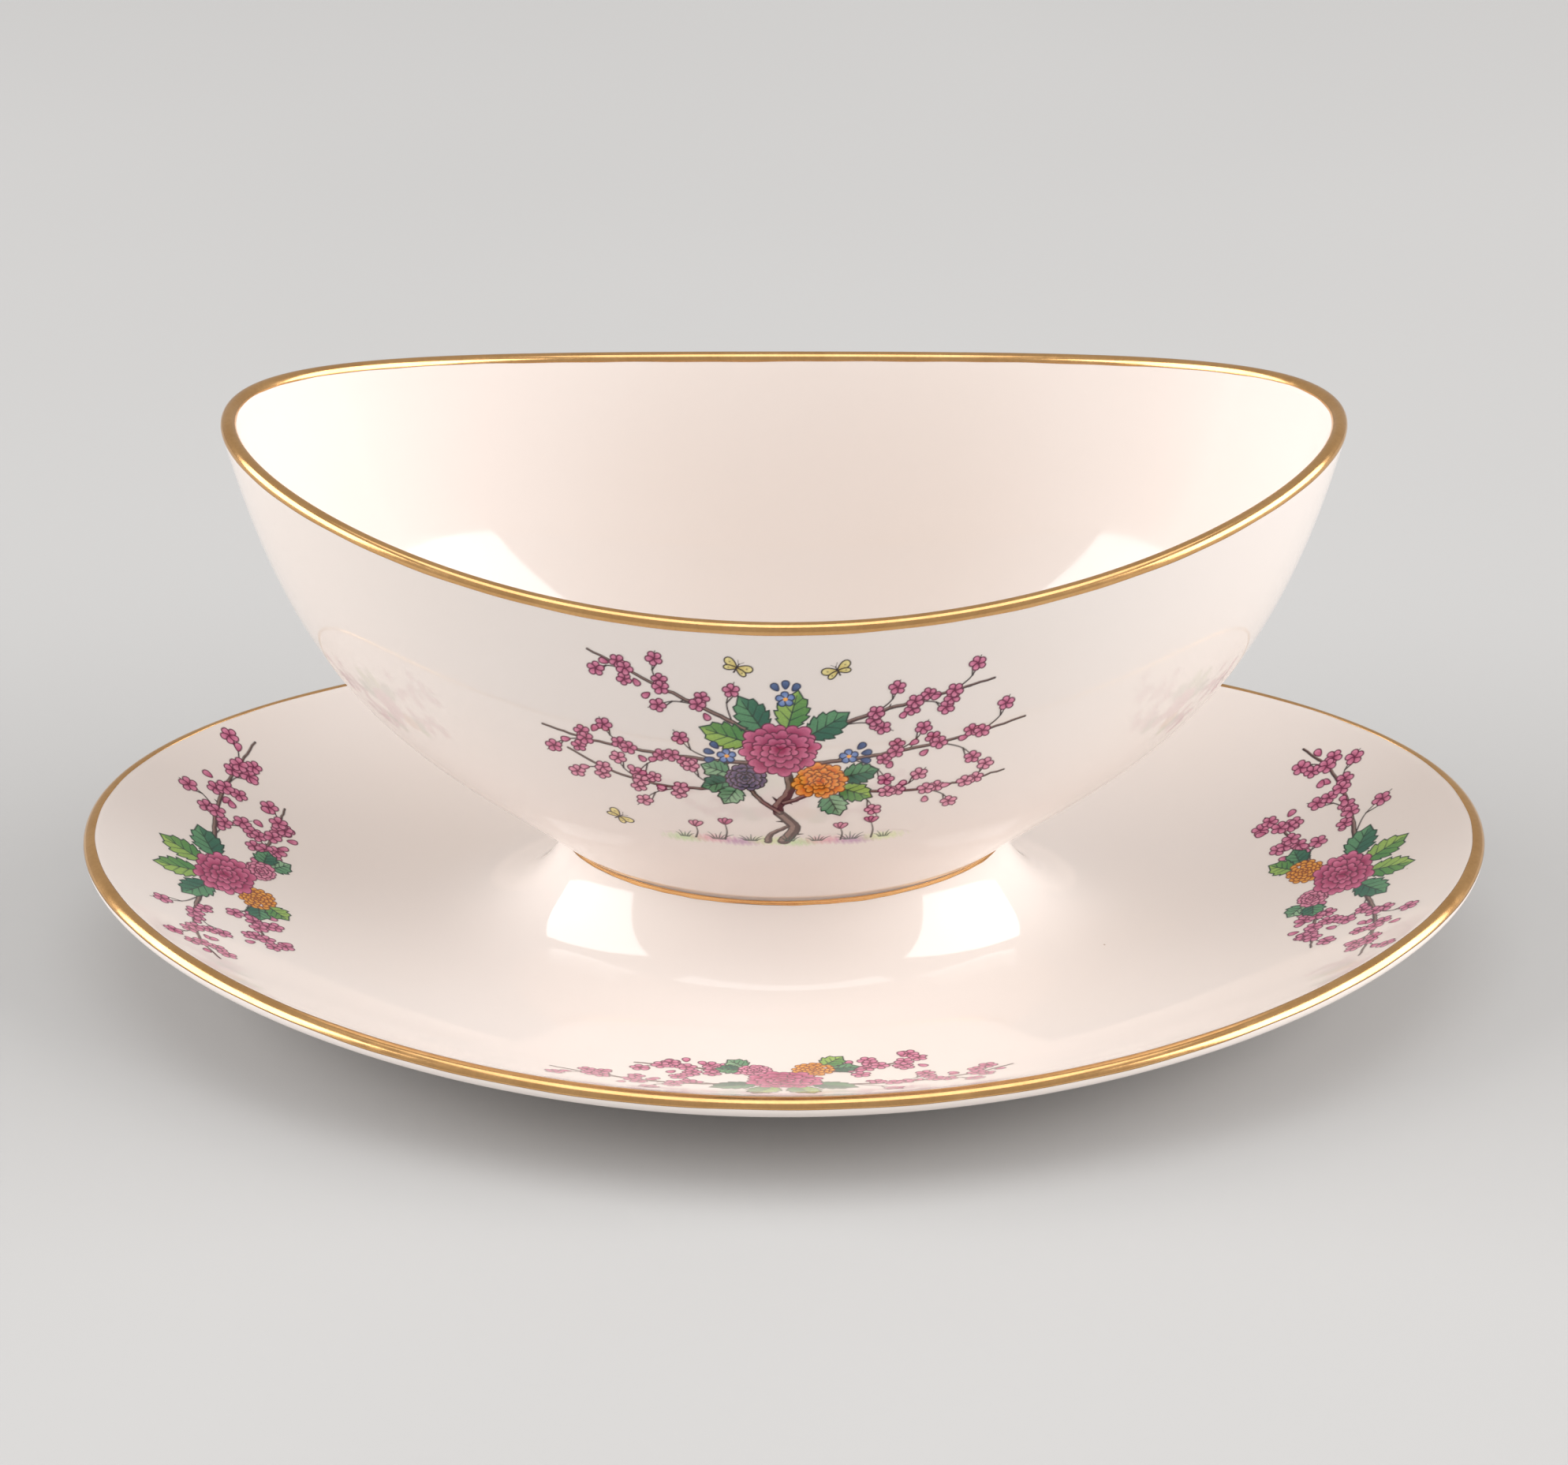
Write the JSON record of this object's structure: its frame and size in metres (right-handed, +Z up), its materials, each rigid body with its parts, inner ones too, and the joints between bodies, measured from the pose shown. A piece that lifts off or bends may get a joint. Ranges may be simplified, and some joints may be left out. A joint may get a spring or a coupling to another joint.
{
  "type": "gravy boat",
  "caption": "Handle-less oval gravy boat with upswept ends, fixed on its own oval underplate by a flared pedestal, with gold bands.",
  "frame": {"origin": "centre of the flat face of the foot ring, where the underplate rests on the table", "axes": "+X along the length of the oval, +Y across it, +Z up out of the bowl's mouth"},
  "size_m": [0.2426, 0.1658, 0.1021],
  "materials": {
    "china": "gloss",
    "slip": "satin",
    "gold": "satin",
    "enamel": "gloss"
  },
  "bodies": {
    "root": {"bowl": "china", "underplate": "china", "slip_joint": "slip", "bowl_rim_gold": "gold", "neck_gold": "gold", "underplate_rim_gold": "gold"}
  },
  "joints": []
}
